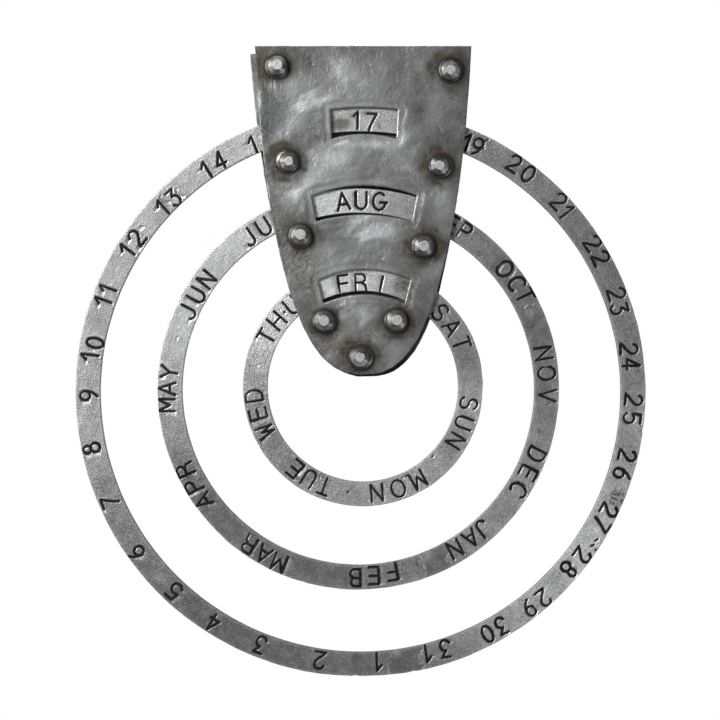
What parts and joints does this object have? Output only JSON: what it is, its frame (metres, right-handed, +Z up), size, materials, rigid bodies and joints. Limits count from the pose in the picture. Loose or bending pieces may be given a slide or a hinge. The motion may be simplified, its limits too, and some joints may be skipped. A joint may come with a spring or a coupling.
{
  "type": "perpetual calendar",
  "caption": "Hanging forged steel perpetual calendar: three stamped rings turn between two riveted plates behind date, month and weekday windows.",
  "frame": {"origin": "centre of the hanging hole's round entry, on the back plate's back face, where the part hangs on its wall screw", "axes": "+Z up along the wall, +X to the right seen from the front, +Y into the wall; the front faces -Y"},
  "size_m": [0.2877, 0.0136, 0.319],
  "materials": {
    "front_plate": "heat-blued hammered sheet steel, waxed, with pale clouds and brown halos round the rivets",
    "back_plate": "dark forge scale on sheet steel, waxed",
    "date_ring": "wire-brushed flat bar with stamped numbers, waxed",
    "month_ring": "wire-brushed flat bar with stamped letters, waxed",
    "weekday_ring": "wire-brushed flat bar with stamped letters, waxed",
    "rivets": "hammered heads, bright on the struck flats",
    "spacers": "dark turned steel"
  },
  "bodies": {
    "frame": {"back_plate": "back_plate", "front_plate": "front_plate", "spacer_top_left": "spacers", "spacer_top_right": "spacers", "spacer_date_left": "spacers", "spacer_date_right": "spacers", "spacer_month_left": "spacers", "spacer_month_right": "spacers", "spacer_weekday_left": "spacers", "spacer_weekday_right": "spacers", "spacer_tip": "spacers", "rivet_top_left": "rivets", "rivet_top_right": "rivets", "rivet_date_left": "rivets", "rivet_date_right": "rivets", "rivet_month_left": "rivets", "rivet_month_right": "rivets", "rivet_weekday_left": "rivets", "rivet_weekday_right": "rivets", "rivet_tip": "rivets"},
    "date_ring": {"date_ring": "date_ring"},
    "month_ring": {"month_ring": "month_ring"},
    "weekday_ring": {"weekday_ring": "weekday_ring"}
  },
  "joints": [
    {"name": "date_ring_turn", "type": "hinge", "parent": "frame", "child": "date_ring", "pos_m": [-0.00075, -0.0044, -0.15211], "axis": [0, -1, 0], "continuous": true},
    {"name": "month_ring_turn", "type": "hinge", "parent": "frame", "child": "month_ring", "pos_m": [-0.00185, -0.0044, -0.15064], "axis": [0, -1, 0], "continuous": true},
    {"name": "weekday_ring_turn", "type": "hinge", "parent": "frame", "child": "weekday_ring", "pos_m": [0.00044, -0.0044, -0.14929], "axis": [0, -1, 0], "continuous": true}
  ]
}
